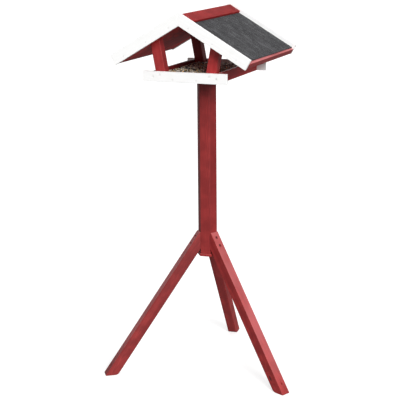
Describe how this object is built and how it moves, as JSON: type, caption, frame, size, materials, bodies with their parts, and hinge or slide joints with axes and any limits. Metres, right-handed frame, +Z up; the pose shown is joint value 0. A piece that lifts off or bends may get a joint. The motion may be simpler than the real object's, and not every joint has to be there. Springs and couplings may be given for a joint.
{
  "type": "bird feeder on pole",
  "caption": "Gabled bird feeding house with an open seed tray, felted roof and bargeboards, on a hexagonal pole with splayed legs.",
  "frame": {"origin": "on the ground, on the pole's axis, in the middle of the three feet", "axes": "+Z up along the pole; -Y is the gabled front of the house and +X is its right side, seen from the front"},
  "size_m": [0.6438, 0.595, 1.2313],
  "materials": {
    "red_stain": "satin wood stain over visible softwood grain",
    "light_red_stain": "thin wood stain over visible softwood grain",
    "white_paint": "satin white paint on softwood",
    "roofing_felt": "matt mineral-faced bitumen felt",
    "steel": "zinc-plated steel"
  },
  "bodies": {
    "root": {"tray_floor": "red_stain", "front_board": "white_paint", "back_board": "white_paint", "left_side_board": "red_stain", "right_side_board": "red_stain", "front_left_post": "red_stain", "front_right_post": "red_stain", "back_left_post": "red_stain", "back_right_post": "red_stain", "left_roof_panel": "red_stain", "right_roof_panel": "red_stain", "left_roof_felt": "roofing_felt", "right_roof_felt": "roofing_felt", "left_ridge_board": "red_stain", "right_ridge_board": "red_stain", "left_eave_strip": "light_red_stain", "right_eave_strip": "light_red_stain", "front_left_bargeboard": "white_paint", "front_right_bargeboard": "white_paint", "back_left_bargeboard": "white_paint", "back_right_bargeboard": "white_paint", "pole": "red_stain", "left_leg": "red_stain", "right_leg": "red_stain", "back_leg": "red_stain", "base_plate": "red_stain", "board_screws": "steel", "floor_nails": "steel", "roof_screws": "steel", "bargeboard_nails": "steel", "ridge_nails": "steel", "eave_nails": "steel", "tray_screws": "steel", "base_plate_screw": "steel", "leg_screws": "steel"}
  },
  "joints": []
}
